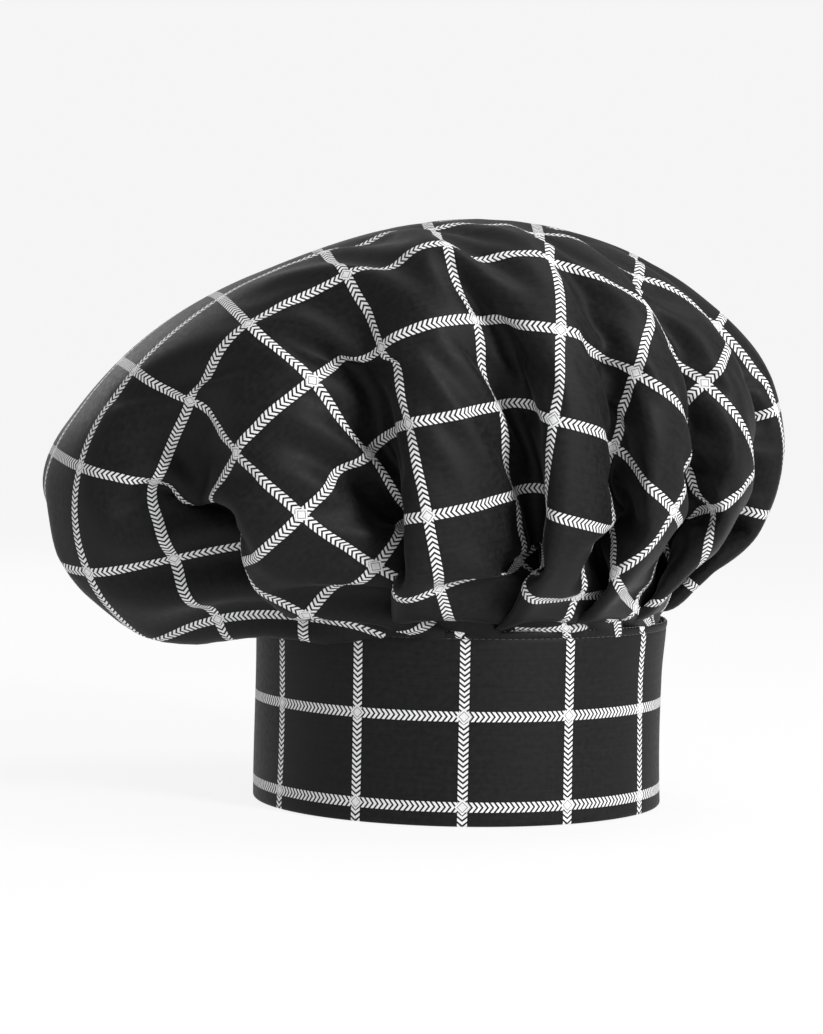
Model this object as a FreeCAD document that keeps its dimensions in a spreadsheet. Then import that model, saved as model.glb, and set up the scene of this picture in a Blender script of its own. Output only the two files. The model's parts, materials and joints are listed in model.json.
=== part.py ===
"""A pleated chef toque: a stiffened headband, a full floppy crown and a hook-and-loop closing tab.

Frame: millimetres, +Z up, origin on the headband's axis at the height of its lower edge.  The wearer's
nape, where the band closes, is towards +Y.  The crown flops over towards -X.
"""
import FreeCAD, Part

import math
import os

import Sketcher

# Driving dimensions, in millimetres and degrees.
DIMENSIONS = {
    "inner_radius": 92.3,       # the lining's face, for a head of 580 mm
    "lining_thick": 0.5,
    "turnin_thick": 0.6,
    "stiffener_thick": 1.0,
    "shell_thick": 0.6,
    "band_height": 86,
    "turnin_height": 12,
    "lining_drop": 1,           # the lining stops this far below the band's top edge
    "seam_depth": 10,           # the crown's gathered edge reaches this far down inside the band
    "seam_ease": 0.05,
    "back_gap": 26,             # the band's open angle at the nape
    "tab_lap": 30,              # the angle of the tab that lies on the band
    "tab_lift": 4.4,            # from the band's outer face to the tab's outer face
    "tab_bend": 50,
    "tab_low": 1,
    "tab_high": 79,
    "tab_space": 0.3,           # between the band's end and the tab's root
    "tab_hem": 0.8,             # the stiffener stops this far inside the tab's edges
    "tab_hem_turn": 0.5,        # and this angle before its tip
    "tip_turn": 1.8,            # the angle from the tab's tip to its stitches
    "loop_low": 15,
    "loop_high": 65,
    "loop_start": 105.5,
    "loop_sweep": 32,
    "hook_low": 19,
    "hook_high": 61,
    "hook_start": 109,
    "hook_sweep": 22,
    "patch_thick": 1,
    "binding_low": 81,
    "binding_high": 85,
    "binding_thick": 0.4,
    "binding_clear": 0.5,       # the angle between the binding and each end of the band
    "thread": 0.3,
    "stitch_width": 0.6,
    "stitch_inset": 3.2,        # from an edge to the row of stitches beside it
    "patch_inset": 1,
    "stitch_turn": 0.35,        # the angle that one stitch row takes up round the band
    "patch_turn": 0.6,          # the angle that patch_inset is about
    "tack_low": 79,
    "tack_high": 85,
    "tack_turn": 1.1,
    "row_to_tack": 2,           # from the end rows' top to the tacks
    "top_row_clear": 3,         # the top row stops this angle before each end of the band
    "label_low": 50,
    "label_high": 76,
    "label_start": 52,
    "label_sweep": 16,
    "label_thick": 0.2,
    "crown_wall": 1.2,
    "notch_turn": 1,            # the crown's notch over the nape passes the gap by this angle
}

# The crown's outer profile from the seam to the top, as (distance from the axis, height): the side
# that stands upright (+X), the side that flops over (-X), and the flatter front and back.
UPRIGHT = ((94.35, 86), (105, 92.5), (124, 105), (144, 125), (151.5, 155), (148, 190),
           (131, 218), (104, 241), (77, 255.5), (46, 266), (15, 270))
FLOPPED = ((94.35, 86), (112, 80), (139, 70.5), (169, 84), (187, 108), (192, 142),
           (180, 178), (148, 214), (106, 240.5), (59, 260.5), (15, 270))
FRONT = ((94.35, 86), (118, 94), (133, 105), (137, 130), (138, 160), (138, 192),
         (136, 224), (121, 248), (90, 263), (50, 268.5), (15, 270))
DROOPING = (1, 2, 3)            # the profile points on the lobe's underside
REACH_POWER = 1.8               # how quickly the flopped side gives way to the upright one
DROOP_POWER = 7.0               # the same for the lobe's underside
FRONT_POWER = 3.2               # how quickly the front and back give way to the sides
RING_POINTS = 24

doc = FreeCAD.newDocument("ChefToque")
sheet = doc.addObject("Spreadsheet::Sheet", "Sheet")
subparts = []                   # every object that becomes a file


class Size:
    """A dimension: its value, and the expression that keeps a feature bound to the sheet."""

    def __init__(self, value, text):
        self.value = value
        self.text = text

    def __add__(self, other):
        return Size(self.value + other.value, f"({self.text} + {other.text})")

    def __sub__(self, other):
        return Size(self.value - other.value, f"({self.text} - {other.text})")

    def __mul__(self, factor):
        return Size(self.value * factor, f"{self.text} * {factor}")


def cell(alias):
    return Size(DIMENSIONS[alias], f"Sheet.{alias}")


def plain(value):
    return Size(float(value), str(value))


def root_of_difference(a, b):
    """The square root of a squared less b squared."""
    value = math.sqrt(a.value ** 2 - b.value ** 2)
    return Size(value, f"sqrt({a.text} * {a.text} - {b.text} * {b.text})")


def fill_sheet():
    for line, (alias, value) in enumerate(DIMENSIONS.items(), 1):
        sheet.set(f"A{line}", alias)
        sheet.set(f"B{line}", str(value))
        sheet.setAlias(f"B{line}", alias)
    doc.recompute()


def keep(obj, label):
    obj.Label = label
    subparts.append(obj)


def new_sketch(body, name, role):
    """An empty sketch on one of the body's own origin planes."""
    sketch = body.newObject("Sketcher::SketchObject", name)
    plane = next(f for f in body.Origin.OriginFeatures if f.Role == role)
    sketch.AttachmentSupport = (plane, [""])
    sketch.MapMode = "FlatFace"
    return sketch


def bind(sketch, kind, items, size):
    """Adds one dimension to a sketch and ties it to the sheet."""
    index = sketch.addConstraint(Sketcher.Constraint(kind, *items, size.value))
    sketch.setExpression(f"Constraints[{index}]", size.text)


def bind_point(sketch, edge, end, across, up):
    """Fixes a sketch point's two distances from the origin; a zero one puts it on the axis."""
    for kind, size, axis in (("DistanceX", across, -2), ("DistanceY", up, -1)):
        if size.value == 0:
            sketch.addConstraint(Sketcher.Constraint("PointOnObject", edge, end, axis))
        else:
            bind(sketch, kind, (-1, 1, edge, end), size)


def close_loop(sketch, order):
    """Joins each edge's end to the next edge's start; order holds (edge, start end, far end)."""
    for here, after in zip(order, order[1:] + order[:1]):
        sketch.addConstraint(Sketcher.Constraint("Coincident", here[0], here[2], after[0], after[1]))


def turn_body(body, angle):
    """Turns a body about the vertical axis to an angle measured from +X."""
    body.Placement = FreeCAD.Placement(FreeCAD.Vector(), FreeCAD.Rotation(FreeCAD.Vector(0, 0, 1), angle.value))
    body.setExpression("Placement.Rotation.Angle", angle.text)


def ring(name, corners, start, sweep):
    """Turns a section of (radius, height) corners about the axis, from start on through sweep."""
    body = doc.addObject("PartDesign::Body", name)
    sketch = new_sketch(body, name + "_section", "XZ_Plane")
    points = [FreeCAD.Vector(x.value, z.value, 0) for x, z in corners]
    for here, after in zip(points, points[1:] + points[:1]):
        sketch.addGeometry(Part.LineSegment(here, after), False)
    close_loop(sketch, [(i, 1, 2) for i in range(len(points))])
    for i, (x, z) in enumerate(corners):
        bind_point(sketch, i, 1, x, z)
    turned = body.newObject("PartDesign::Revolution", name + "_turn")
    turned.Profile = sketch
    turned.ReferenceAxis = (sketch, ["V_Axis"])
    turned.Angle = sweep.value
    turned.setExpression("Angle", sweep.text)
    turn_body(body, start)
    return body


def block(inner, outer, low, high):
    """The corners of a plain section."""
    return [(inner, low), (outer, low), (outer, high), (inner, high)]


def frame(label, outer, inner):
    """A row of stitches round a rectangle: a thin patch less a slightly smaller one."""
    cut = doc.addObject("Part::Cut", label)
    cut.Base = outer
    cut.Tool = inner
    keep(cut, label)


def tab_layer(name, depths, heights, trim, end_turn):
    """A layer of the tab, between two depths below its outer face and two heights.

    From its root the tab runs straight on from the band, bends, and then lies round the band's far
    end.  trim shortens the root and end_turn is the angle at which the layer stops.
    """
    shallow, deep = depths
    body = doc.addObject("PartDesign::Body", name)
    sketch = new_sketch(body, name + "_plan", "XY_Plane")
    middle = FreeCAD.Vector(BEND_X.value, BEND_Y.value, 0)
    turn = math.atan2(BEND_Y.value, BEND_X.value)
    stop = math.radians(end_turn.value)
    up = FreeCAD.Vector(0, 0, 1)
    radii = [(BEND.value - depth.value, LAP_OUT.value - depth.value) for depth in depths]
    roots = [FreeCAD.Vector(SHELL_OUT.value - depth.value, trim.value, 0) for depth in depths]
    for (bend_r, lap_r), root in zip(radii, roots):
        knee = FreeCAD.Vector(root.x, BEND_Y.value, 0)
        sketch.addGeometry(Part.LineSegment(root, knee), False)
        sketch.addGeometry(Part.ArcOfCircle(Part.Circle(middle, up, bend_r), 0, turn), False)
        sketch.addGeometry(Part.ArcOfCircle(Part.Circle(FreeCAD.Vector(), up, lap_r), turn, stop), False)
    tips = [FreeCAD.Vector(r * math.cos(stop), r * math.sin(stop), 0) for _, r in radii]
    sketch.addGeometry(Part.LineSegment(tips[0], tips[1]), False)
    sketch.addGeometry(Part.LineSegment(roots[1], roots[0]), False)
    sketch.addGeometry(Part.LineSegment(FreeCAD.Vector(), middle), True)
    sketch.addGeometry(Part.LineSegment(FreeCAD.Vector(), tips[0] * 0.5), True)
    close_loop(sketch, [(0, 1, 2), (1, 1, 2), (2, 1, 2), (6, 1, 2), (5, 2, 1), (4, 2, 1), (3, 2, 1), (7, 1, 2)])
    add = sketch.addConstraint
    for straight, bend, lap, depth in ((0, 1, 2, shallow), (3, 4, 5, deep)):
        add(Sketcher.Constraint("Coincident", bend, 3, 8, 2))
        add(Sketcher.Constraint("Coincident", lap, 3, -1, 1))
        add(Sketcher.Constraint("PointOnObject", lap, 1, 8))
        add(Sketcher.Constraint("PointOnObject", lap, 2, 9))
        add(Sketcher.Constraint("Vertical", straight))
        add(Sketcher.Constraint("Horizontal", bend, 3, bend, 1))
        bind(sketch, "Radius", (bend,), BEND - depth)
        bind(sketch, "DistanceY", (-1, 1, straight, 1), trim)
    add(Sketcher.Constraint("Coincident", 8, 1, -1, 1))
    add(Sketcher.Constraint("Coincident", 9, 1, -1, 1))
    bind_point(sketch, 8, 2, BEND_X, BEND_Y)
    bind(sketch, "Distance", (9,), LAP_OUT * 0.5)
    index = add(Sketcher.Constraint("Angle", -1, 1, 9, 1, stop))
    sketch.setExpression(f"Constraints[{index}]", end_turn.text)
    sketch.AttachmentOffset = FreeCAD.Placement(FreeCAD.Vector(0, 0, heights[0].value), FreeCAD.Rotation())
    sketch.setExpression("AttachmentOffset.Base.z", heights[0].text)
    pad = body.newObject("PartDesign::Pad", name + "_pad")
    pad.Profile = sketch
    pad.Length = (heights[1] - heights[0]).value
    pad.setExpression("Length", (heights[1] - heights[0]).text)
    turn_body(body, BAND_NEAR)
    return body


def crown_point(angle, row, inset):
    """A point of the crown's skin at an angle from +X, inset millimetres inside its outer face."""
    lean = (1 - math.cos(angle)) / 2
    reach = lean ** REACH_POWER

    face = abs(math.sin(angle)) ** FRONT_POWER

    def at(i):
        i = min(max(i, 0), len(UPRIGHT) - 1)
        drop = lean ** DROOP_POWER if i in DROOPING else reach
        (r0, z0), (r1, z1), (r2, z2) = UPRIGHT[i], FLOPPED[i], FRONT[i]
        radius = r0 + reach * (r1 - r0)
        height = z0 + drop * (z1 - z0)
        return radius + face * (r2 - radius), height + face * (z2 - height)

    radius, height = at(row)
    before, after = at(row - 1), at(row + 1)
    run, rise = after[0] - before[0], after[1] - before[1]
    if row == 0:
        run, rise = 0.0, 1.0
    if row == len(UPRIGHT) - 1:
        run, rise = -1.0, 0.0
    size = math.hypot(run, rise)
    radius -= inset * rise / size
    height += inset * run / size
    return FreeCAD.Vector(radius * math.cos(angle), radius * math.sin(angle), height)


def crown_wire(row, inset, drop=0):
    """A closed smooth curve round the crown at one row of its profile, lowered by drop."""
    angles = [2 * math.pi * i / RING_POINTS for i in range(RING_POINTS)]
    points = [crown_point(a, row, inset) - FreeCAD.Vector(0, 0, drop) for a in angles]
    curve = Part.BSplineCurve()
    curve.interpolate(Points=points, PeriodicFlag=True)
    return Part.Wire([curve.toShape()])


def crown_solid(inset):
    """The crown as a solid, shrunk by inset, standing on the part of it that enters the band."""
    skin = Part.makeLoft([crown_wire(row, inset) for row in range(len(UPRIGHT))], True)
    collar = Part.makeLoft([crown_wire(0, inset, SEAM_DEPTH.value), crown_wire(0, inset)], True)
    return skin, collar


def make_crown():
    """The full crown: a thin skin with its gathered edge down inside the band, open over the nape gap."""
    wall = DIMENSIONS["crown_wall"]
    skin, collar = crown_solid(0)
    hollow, bore = crown_solid(wall)
    shape = skin.cut(hollow).fuse(collar.cut(bore))
    sweep = DIMENSIONS["back_gap"] + 2 * DIMENSIONS["notch_turn"]
    foot = FreeCAD.Vector(0, 0, (TOP - SEAM_DEPTH - SEAM_DEPTH).value)
    up = FreeCAD.Vector(0, 0, 1)
    notch = Part.makeCylinder(SHELL_OUT.value + wall, BINDING_HIGH.value - foot.z, foot, up, sweep)
    notch.rotate(FreeCAD.Vector(), up, 90 - sweep / 2)
    shape = shape.cut(notch).removeSplitter()
    solid = shape.Solids[0] if len(shape.Solids) == 1 else shape
    crown = doc.addObject("Part::Feature", "crown_skin")
    crown.Shape = solid
    keep(crown, "crown")


# Sizes that several parts share.
fill_sheet()
LINING_IN = cell("inner_radius")
LINING_OUT = LINING_IN + cell("lining_thick")
TURNIN_OUT = LINING_OUT + cell("turnin_thick")
STIFFENER_OUT = TURNIN_OUT + cell("stiffener_thick")
SHELL_OUT = STIFFENER_OUT + cell("shell_thick")
SHELL = cell("shell_thick")
ZERO = plain(0)
TOP = cell("band_height")
SEAM_DEPTH = cell("seam_depth")
BINDING_HIGH = cell("binding_high")
THREAD = cell("thread")
ROW = cell("stitch_width")
INSET = cell("stitch_inset")
BAND_NEAR = plain(90) - cell("back_gap") * 0.5      # the band's end that carries the tab
BAND_FAR = plain(90) + cell("back_gap") * 0.5       # the band's end under the tab
BAND_SWEEP = plain(360) - cell("back_gap")
TAB_TURN = cell("back_gap") + cell("tab_lap")
LAP_OUT = SHELL_OUT + cell("tab_lift")
BEND = cell("tab_bend")
BEND_X = SHELL_OUT - BEND
BEND_Y = root_of_difference(LAP_OUT - BEND, BEND_X)
TAB_LINING = SHELL + cell("stiffener_thick")
TAB_DEEP = TAB_LINING + cell("lining_thick")
TAB_LOW = cell("tab_low")
TAB_HIGH = cell("tab_high")
SPACE = cell("tab_space")
PATCH = cell("patch_thick")


def make_band():
    """The headband's layers, from the outside in, and the stitches that show on them."""
    shell = [(LINING_OUT, ZERO), (SHELL_OUT, ZERO), (SHELL_OUT, TOP), (STIFFENER_OUT, TOP),
             (STIFFENER_OUT, SHELL), (TURNIN_OUT, SHELL), (TURNIN_OUT, cell("turnin_height")),
             (LINING_OUT, cell("turnin_height"))]
    keep(ring("shell_body", shell, BAND_FAR, BAND_SWEEP), "band_shell")
    stiffener = block(TURNIN_OUT, STIFFENER_OUT, SHELL, TOP - SEAM_DEPTH - SHELL)
    keep(ring("stiffener_body", stiffener, BAND_FAR, BAND_SWEEP), "band_interfacing")
    lining = block(LINING_IN, LINING_OUT, ZERO, TOP - cell("lining_drop"))
    keep(ring("lining_body", lining, BAND_FAR, BAND_SWEEP), "band_lining")
    row = block(SHELL_OUT, SHELL_OUT + THREAD, TOP - INSET - ROW, TOP - INSET)
    clear = cell("top_row_clear")
    keep(ring("top_row", row, BAND_FAR + clear, BAND_SWEEP - clear - clear), "band_top_stitching")
    label = block(LINING_IN - cell("label_thick"), LINING_IN, cell("label_low"), cell("label_high"))
    keep(ring("label_body", label, cell("label_start"), cell("label_sweep")), "care_label")


def make_pair(label, section, starts, sweep):
    """Two alike small pieces in one file."""
    both = doc.addObject("Part::Compound", label)
    both.Links = [ring(f"{label}_{side}", section, start, sweep) for side, start in enumerate(starts)]
    keep(both, label)


def make_band_ends():
    """Stitches and tacks at the band's two ends, and the binding over the gap between them."""
    turn = cell("stitch_turn")
    row = block(SHELL_OUT, SHELL_OUT + THREAD, INSET, cell("tack_low") - cell("row_to_tack"))
    make_pair("band_end_stitching", row, (BAND_FAR + turn, BAND_NEAR - turn - turn - turn), turn)
    tack = block(SHELL_OUT, SHELL_OUT + ROW, cell("tack_low"), cell("tack_high"))
    width = cell("tack_turn")
    make_pair("corner_tacks", tack, (BAND_FAR + turn, BAND_NEAR - turn - width), width)
    fold = cell("binding_thick")
    edge = STIFFENER_OUT - cell("seam_ease")
    binding = block(edge - cell("crown_wall") - fold, edge + fold, cell("binding_low"), BINDING_HIGH)
    clear = cell("binding_clear")
    keep(ring("binding_body", binding, BAND_NEAR + clear, cell("back_gap") - clear - clear), "nape_binding")


def stitch_patch(label, face, low, high, start, sweep):
    """A row of stitches just inside the edges of a tape, on a round face."""
    inset, turn = cell("patch_inset"), cell("patch_turn")
    row = cell("stitch_turn")
    outer = ring(label + "_outer", block(face, face + THREAD, low + inset, high - inset),
                 start + turn, sweep - turn * 2)
    inner = ring(label + "_inner", block(face, face + THREAD, low + inset + ROW, high - inset - ROW),
                 start + turn + row, sweep - turn * 2 - row * 2)
    frame(label, outer, inner)


def make_loop_patch():
    """The loop tape on the band, under the tab."""
    out = SHELL_OUT + PATCH
    place = cell("loop_low"), cell("loop_high"), cell("loop_start"), cell("loop_sweep")
    keep(ring("loop_body", block(SHELL_OUT, out, *place[:2]), *place[2:]), "loop_patch")
    stitch_patch("loop_patch_stitching", out, *place)


def make_tab():
    """The closing tab's layers, its hook tape and its stitches."""
    end = TAB_TURN
    heights = (TAB_LOW, TAB_HIGH)
    hem, hem_turn = cell("tab_hem"), cell("tab_hem_turn")
    keep(tab_layer("tab_shell_body", (ZERO, SHELL), heights, SPACE, end), "tab_shell")
    inside = (TAB_LOW + hem, TAB_HIGH - hem)
    keep(tab_layer("tab_stiffener_body", (SHELL, TAB_LINING), inside, SPACE + hem, end - hem_turn),
         "tab_interfacing")
    keep(tab_layer("tab_lining_body", (TAB_LINING, TAB_DEEP), heights, SPACE, end), "tab_lining")
    skin = (ZERO - THREAD, ZERO)
    low, high = TAB_LOW + INSET, TAB_HIGH - INSET
    tip = end - cell("tip_turn")
    outer = tab_layer("tab_row_outer", skin, (low, high), INSET, tip)
    inner = tab_layer("tab_row_inner", skin, (low + ROW, high - ROW), INSET + ROW, tip - cell("stitch_turn"))
    frame("tab_edge_stitching", outer, inner)
    face = LAP_OUT - TAB_DEEP
    place = cell("hook_low"), cell("hook_high"), cell("hook_start"), cell("hook_sweep")
    keep(ring("hook_body", block(face - PATCH, face, *place[:2]), *place[2:]), "hook_patch")
    stitch_patch("hook_patch_stitching", LAP_OUT, *place)


def check_and_export():
    """Stops on any bad object, then writes one file for each sub-part."""
    doc.recompute()
    for obj in doc.Objects:
        if "Invalid" in obj.State or "Error" in obj.State:
            raise RuntimeError(f"{obj.Name}: {obj.State}")
    os.makedirs("parts", exist_ok=True)
    for obj in subparts:
        if obj.Shape.isNull() or not obj.Shape.isValid() or not obj.Shape.Solids:
            raise RuntimeError(f"{obj.Label} has no valid solid")
        obj.Shape.exportStep(f"parts/{obj.Label}.step")
        box = obj.Shape.BoundBox
        print(f"{obj.Label:22s} {obj.Shape.Volume:10.1f} mm3  solids {len(obj.Shape.Solids)}  "
              f"z {box.ZMin:.2f}..{box.ZMax:.2f}  x {box.XMin:.2f}..{box.XMax:.2f}")


make_band()
make_band_ends()
make_loop_patch()
make_tab()
make_crown()
check_and_export()
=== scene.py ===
"""The chef toque's visual model: a pleated crown of windowpane-check twill over a stiffened headband.

Metres, in the CAD model's frame: +Z up, the front towards -Y, the nape and its closing tab towards +Y.
Lengths that are easier to read in millimetres are multiplied by MM where they are used.
"""
import json
import math

import bpy
import numpy as np
from mathutils import Matrix, Vector


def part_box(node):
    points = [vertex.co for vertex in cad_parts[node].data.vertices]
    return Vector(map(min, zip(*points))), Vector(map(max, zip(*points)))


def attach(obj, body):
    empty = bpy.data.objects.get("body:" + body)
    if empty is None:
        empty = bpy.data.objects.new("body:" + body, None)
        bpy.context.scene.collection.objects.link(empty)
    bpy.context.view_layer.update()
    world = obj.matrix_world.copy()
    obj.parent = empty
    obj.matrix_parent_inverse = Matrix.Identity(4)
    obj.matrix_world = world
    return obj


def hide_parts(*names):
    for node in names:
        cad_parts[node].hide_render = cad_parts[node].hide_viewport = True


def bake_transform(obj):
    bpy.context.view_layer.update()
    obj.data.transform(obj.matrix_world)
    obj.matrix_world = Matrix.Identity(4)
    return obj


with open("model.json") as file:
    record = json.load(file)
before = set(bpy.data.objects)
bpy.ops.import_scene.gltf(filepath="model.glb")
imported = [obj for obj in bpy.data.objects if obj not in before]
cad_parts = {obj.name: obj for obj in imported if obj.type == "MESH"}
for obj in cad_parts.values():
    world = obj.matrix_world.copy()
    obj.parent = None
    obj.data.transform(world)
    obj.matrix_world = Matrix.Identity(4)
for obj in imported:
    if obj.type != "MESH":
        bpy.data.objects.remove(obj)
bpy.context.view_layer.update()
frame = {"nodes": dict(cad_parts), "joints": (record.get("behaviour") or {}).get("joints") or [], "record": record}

MM = 0.001
HAT, TAB = "hat", "closing_tab"

# The band, read from the frame.
SHELL_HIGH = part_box("band_shell")[1]
BAND_R = SHELL_HIGH.x
BAND_TOP = SHELL_HIGH.z
HINGE = Vector(frame["joints"][0]["pos_m"])
ROOT_TURN = math.atan2(HINGE.y, HINGE.x)            # where the tab leaves the band, from +X
FAR_TURN = math.pi - ROOT_TURN                      # the band's other end, under the tab
FRONT_TURN = -math.pi / 2

# The check, in millimetres: pitches, and where its lines lie on each piece of cloth.
LINE_PITCH = (49.0, 39.7)
BAND_PHASE = (-96.5, 8.7)
STRIPE_HALF = 2.2
CHEVRON_PITCH = 2.35
CHEVRON_SLOPE = 0.8
CHEVRON_HALF = 0.66
YARN_BLUR = 0.3                        # how softly a woven line ends
DIAMOND_RING, DIAMOND_LINE = 3.0, 0.5  # the ring round a crossing: its size and half its line's width
DIAMOND_FILL = 2.15
DIAMOND_CLEAR = 3.6                    # the stripes stop this far from a crossing
PAINTED_SHADE_WIDTH = 0.7                           # painted shade darkens the twill this far beside a stripe
RIB_PITCH = 1.05
YARN_PITCH = (0.5, 0.42)
PATH_STEP = 1.2                        # between points along a swept piece


# ---------------------------------------------------------------------------- material nodes
class Term:
    """A value in a material, which can be added, multiplied and compared like a number."""

    def __init__(self, graph, socket):
        self.graph, self.socket = graph, socket

    def __add__(self, other):
        return self.graph.math("ADD", self, other)

    def __sub__(self, other):
        return self.graph.math("SUBTRACT", self, other)

    def __mul__(self, other):
        return self.graph.math("MULTIPLY", self, other)

    def __truediv__(self, other):
        return self.graph.math("DIVIDE", self, other)

    def __abs__(self):
        return self.graph.math("ABSOLUTE", self)

    def most(self, other):
        return self.graph.math("MAXIMUM", self, other)

    def off_line(self, pitch):
        """The distance from the nearest of the lines that are a pitch apart, the first at zero."""
        return self.graph.math("PINGPONG", self + 100 * pitch, pitch / 2)

    def below(self, edge, blur):
        """1 under the edge and 0 above it, with a soft change blur wide."""
        return self.graph.scaled(self, edge - blur / 2, edge + blur / 2, 1.0, 0.0)


class Graph:
    """A material and the nodes that make its colour, roughness and bump."""

    def __init__(self, name, **shader_values):
        self.material = bpy.data.materials.new(name)
        self.material.use_nodes = True
        self.tree = self.material.node_tree
        self.shader = self.tree.nodes["Principled BSDF"]
        for socket, value in shader_values.items():
            self.shader.inputs[socket.replace("_", " ")].default_value = value

    def put(self, socket, value):
        if isinstance(value, Term):
            self.tree.links.new(value.socket, socket)
        else:
            socket.default_value = value

    def math(self, operation, *values):
        node = self.tree.nodes.new("ShaderNodeMath")
        node.operation = operation
        for socket, value in zip(node.inputs, values):
            self.put(socket, value)
        return Term(self, node.outputs[0])

    def scaled(self, value, low, high, at_low, at_high):
        node = self.tree.nodes.new("ShaderNodeMapRange")
        node.interpolation_type = "SMOOTHSTEP"
        limits = {"From Min": low, "From Max": high, "To Min": at_low, "To Max": at_high}
        for name, number in limits.items():
            node.inputs[name].default_value = number
        self.put(node.inputs["Value"], value)
        return Term(self, node.outputs["Result"])

    def mixed(self, share, first, second):
        """A colour between two: first where share is 0, second where it is 1."""
        node = self.tree.nodes.new("ShaderNodeMix")
        node.data_type = "RGBA"
        self.put(node.inputs["Factor"], share)
        for socket, colour in ((node.inputs[6], first), (node.inputs[7], second)):
            self.put(socket, colour if isinstance(colour, Term) else (*colour, 1.0))
        return Term(self, node.outputs[2])

    def place(self):
        """Where a point is on its flat cloth, in millimetres: (across, up)."""
        node = self.tree.nodes.new("ShaderNodeUVMap")
        node.uv_map = "flat"
        return self.apart(node.outputs["UV"])[:2]

    def apart(self, socket):
        parts = self.tree.nodes.new("ShaderNodeSeparateXYZ")
        self.tree.links.new(socket, parts.inputs[0])
        return [Term(self, s) / MM for s in parts.outputs]

    def round_place(self):
        """Where a point is round the hat and up it, in millimetres, for a piece with no flat cloth."""
        node = self.tree.nodes.new("ShaderNodeTexCoord")
        x, y, z = self.apart(node.outputs["Object"])
        return self.math("ARCTAN2", y, x) * (BAND_R / MM), z

    def noise(self, size, detail=2.0, stretch=(1, 1)):
        """Soft random variation from 0 to 1, in patches so many millimetres across."""
        node = self.tree.nodes.new("ShaderNodeTexNoise")
        node.noise_dimensions = "3D"
        node.inputs["Scale"].default_value = 1.0
        node.inputs["Detail"].default_value = detail
        join = self.tree.nodes.new("ShaderNodeCombineXYZ")
        for socket, value, pull in zip(join.inputs, self.at, stretch):
            self.put(socket, value / (size * pull))
        self.tree.links.new(join.outputs[0], node.inputs["Vector"])
        return Term(self, node.outputs["Fac"])

    def finish(self, colour, roughness, height, strength=0.6, reach=0.3):
        """Joins colour, roughness and a height in millimetres to the shader."""
        bump = self.tree.nodes.new("ShaderNodeBump")
        bump.inputs["Distance"].default_value = reach * MM
        bump.inputs["Strength"].default_value = strength
        self.put(bump.inputs["Height"], height)
        self.put(self.shader.inputs["Base Color"], colour)
        self.put(self.shader.inputs["Roughness"], roughness)
        self.tree.links.new(bump.outputs["Normal"], self.shader.inputs["Normal"])
        return self.material


def chevrons(across, along, direction):
    """A woven stripe's arrowheads: 1 on the white yarn, 0 on the ground between."""
    step = (along + across * (CHEVRON_SLOPE * direction)).off_line(CHEVRON_PITCH)
    bars = step.below(CHEVRON_HALF, 0.34)
    return bars * across.below(STRIPE_HALF, YARN_BLUR)


def check_cloth():
    """Black twill with a windowpane of white herringbone stripes, a diamond at each crossing, and painted shade
    beside each stripe.
    """
    g = Graph("check_cloth", Specular_IOR_Level=0.16, Sheen_Weight=0.045, Sheen_Roughness=0.4)
    g.at = u, v = g.place()
    du, dv = u.off_line(LINE_PITCH[0]), v.off_line(LINE_PITCH[1])
    knot = du + dv
    ring = abs(knot - DIAMOND_RING).below(DIAMOND_LINE, YARN_BLUR)
    diamond = ring.most(knot.below(DIAMOND_FILL, 0.35) * 0.92)
    upright, level = chevrons(du, v, -1), chevrons(dv, u, 1)
    clear = knot.below(DIAMOND_CLEAR, YARN_BLUR)
    stripes = upright.most(level)
    white = (stripes * (clear * -1.0 + 1.0)).most(diamond)
    ribs = (u + v * 1.6).off_line(RIB_PITCH)
    yarn = u.off_line(YARN_PITCH[0]) + v.off_line(YARN_PITCH[1])
    mottle = g.noise(2.6, 3.0)
    slub = g.noise(5.0, 2.0, (6.0, 0.25))
    painted_shade_reach = STRIPE_HALF + PAINTED_SHADE_WIDTH
    # painted shade: a darker border of the twill along each side of every stripe
    beside = du.below(painted_shade_reach, 0.5).most(dv.below(painted_shade_reach, 0.5)) * 0.55
    tone = g.scaled(mottle * 0.6 + slub * 0.25 + ribs * 0.25, 0.25, 0.75, 0.0, 1.0)
    ground = g.mixed(tone, (0.0025, 0.0025, 0.0028), (0.0115, 0.0115, 0.012))
    # the painted shade beside the stripes darkens the ground colour here
    ground = g.mixed(beside, ground, (0.002, 0.002, 0.002))
    thread = g.mixed(g.noise(1.2, 1.0), (0.62, 0.62, 0.63), (0.95, 0.95, 0.95))
    colour = g.mixed(white, ground, thread)
    roughness = g.scaled(mottle - white * 0.3, 0.2, 0.8, 0.52, 0.68)
    height = ribs * 0.18 + yarn * 0.12 + white * 0.5 + mottle * 0.15
    return g.finish(colour, roughness, height, 0.55, 0.25)


def plain_weave(name, dark, light, pitch, **shader_values):
    """A plain woven cloth: over-and-under yarns with slight slubs."""
    g = Graph(name, **shader_values)
    g.at = u, v = g.round_place()
    over = g.math("SINE", u * (math.pi / pitch)) * g.math("SINE", v * (math.pi / pitch))
    slub = g.noise(4.0, 2.0, (5.0, 0.4)) * 0.5 + g.noise(4.0, 2.0, (0.4, 5.0)) * 0.5
    soil = g.noise(38.0, 3.0)
    tone = over * 0.3 + slub * 0.6 + soil * 0.35
    colour = g.mixed(g.scaled(tone, 0.2, 0.9, 0.0, 1.0), dark, light)
    return g.finish(colour, g.scaled(slub, 0.3, 0.7, 0.72, 0.88), over * 0.5 + slub * 0.4, 0.5, 0.2)


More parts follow.
